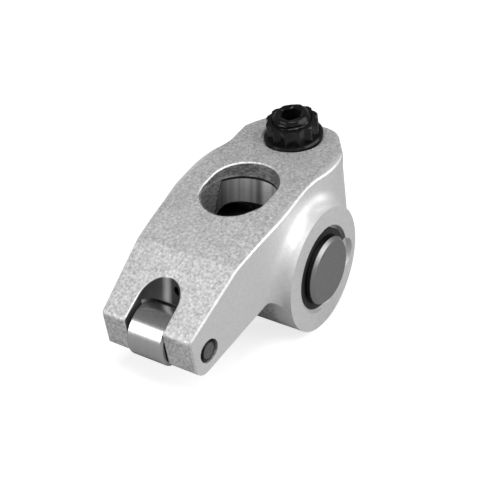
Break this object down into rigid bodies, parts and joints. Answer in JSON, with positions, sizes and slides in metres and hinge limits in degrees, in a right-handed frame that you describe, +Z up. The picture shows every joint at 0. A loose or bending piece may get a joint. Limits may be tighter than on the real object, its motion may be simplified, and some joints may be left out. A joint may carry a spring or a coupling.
{
  "type": "rocker arm",
  "caption": "Roller rocker arm with a hollow cross shaft on needle bearings, a roller on a pin in a slotted nose, and a slanted adjusting screw with a lock nut.",
  "frame": {"origin": "centre of the trunnion, where its axis meets the axis of its bolt hole", "axes": "+X from the roller nose towards the adjuster, +Y along the trunnion to the far side, +Z up from the table it lies on"},
  "size_m": [0.0781, 0.0426, 0.0469],
  "materials": {
    "rocker_aluminium": "satin, tumbled",
    "bearing_steel": "ground",
    "cage_steel": "phosphated",
    "seal_rubber": "dull",
    "black_steel": "black oxide, semi-gloss"
  },
  "bodies": {
    "arm": {"rocker_body": "rocker_aluminium", "roller_pin": "black_steel", "bearing_shell_near": "bearing_steel", "bearing_shell_far": "bearing_steel", "retaining_clip_near": "bearing_steel", "retaining_clip_far": "bearing_steel", "bearing_seal_near": "seal_rubber", "bearing_seal_far": "seal_rubber"},
    "shaft": {"trunnion": "bearing_steel"},
    "cage_near": {"needle_cage_near": "cage_steel", "needle_near_01": "bearing_steel", "needle_near_02": "bearing_steel", "needle_near_03": "bearing_steel", "needle_near_04": "bearing_steel", "needle_near_05": "bearing_steel", "needle_near_06": "bearing_steel", "needle_near_07": "bearing_steel", "needle_near_08": "bearing_steel", "needle_near_09": "bearing_steel", "needle_near_10": "bearing_steel", "needle_near_11": "bearing_steel", "needle_near_12": "bearing_steel", "needle_near_13": "bearing_steel", "needle_near_14": "bearing_steel"},
    "cage_far": {"needle_cage_far": "cage_steel", "needle_far_01": "bearing_steel", "needle_far_02": "bearing_steel", "needle_far_03": "bearing_steel", "needle_far_04": "bearing_steel", "needle_far_05": "bearing_steel", "needle_far_06": "bearing_steel", "needle_far_07": "bearing_steel", "needle_far_08": "bearing_steel", "needle_far_09": "bearing_steel", "needle_far_10": "bearing_steel", "needle_far_11": "bearing_steel", "needle_far_12": "bearing_steel", "needle_far_13": "bearing_steel", "needle_far_14": "bearing_steel"},
    "roller": {"tip_roller": "bearing_steel"},
    "nut": {"lock_nut": "black_steel"},
    "screw": {"adjuster_screw": "black_steel"}
  },
  "joints": [
    {"name": "trunnion_spin", "type": "hinge", "parent": "arm", "child": "shaft", "pos_m": [0, 0, 0], "axis": [0, 1, 0], "continuous": true},
    {"name": "cage_near_spin", "type": "hinge", "parent": "arm", "child": "cage_near", "pos_m": [0, 0, 0], "axis": [0, 1, 0], "continuous": true},
    {"name": "cage_far_spin", "type": "hinge", "parent": "arm", "child": "cage_far", "pos_m": [0, 0, 0], "axis": [0, 1, 0], "continuous": true},
    {"name": "roller_spin", "type": "hinge", "parent": "arm", "child": "roller", "pos_m": [-0.03906, 0.00045, -0.00375], "axis": [0, 1, 0], "continuous": true},
    {"name": "nut_turn", "type": "hinge", "parent": "arm", "child": "nut", "pos_m": [0.0178, 0, 0.0232], "axis": [-0.2334, 0, 0.9724], "continuous": true},
    {"name": "adjuster_travel", "type": "slide", "parent": "arm", "child": "screw", "axis": [-0.2334, 0, 0.9724], "range_m": [-0.0032, 0.0021]}
  ],
  "couplings": [
    {"joint": "cage_near_spin", "follows": "trunnion_spin", "ratio": 0.45634},
    {"joint": "cage_far_spin", "follows": "trunnion_spin", "ratio": 0.45634}
  ]
}
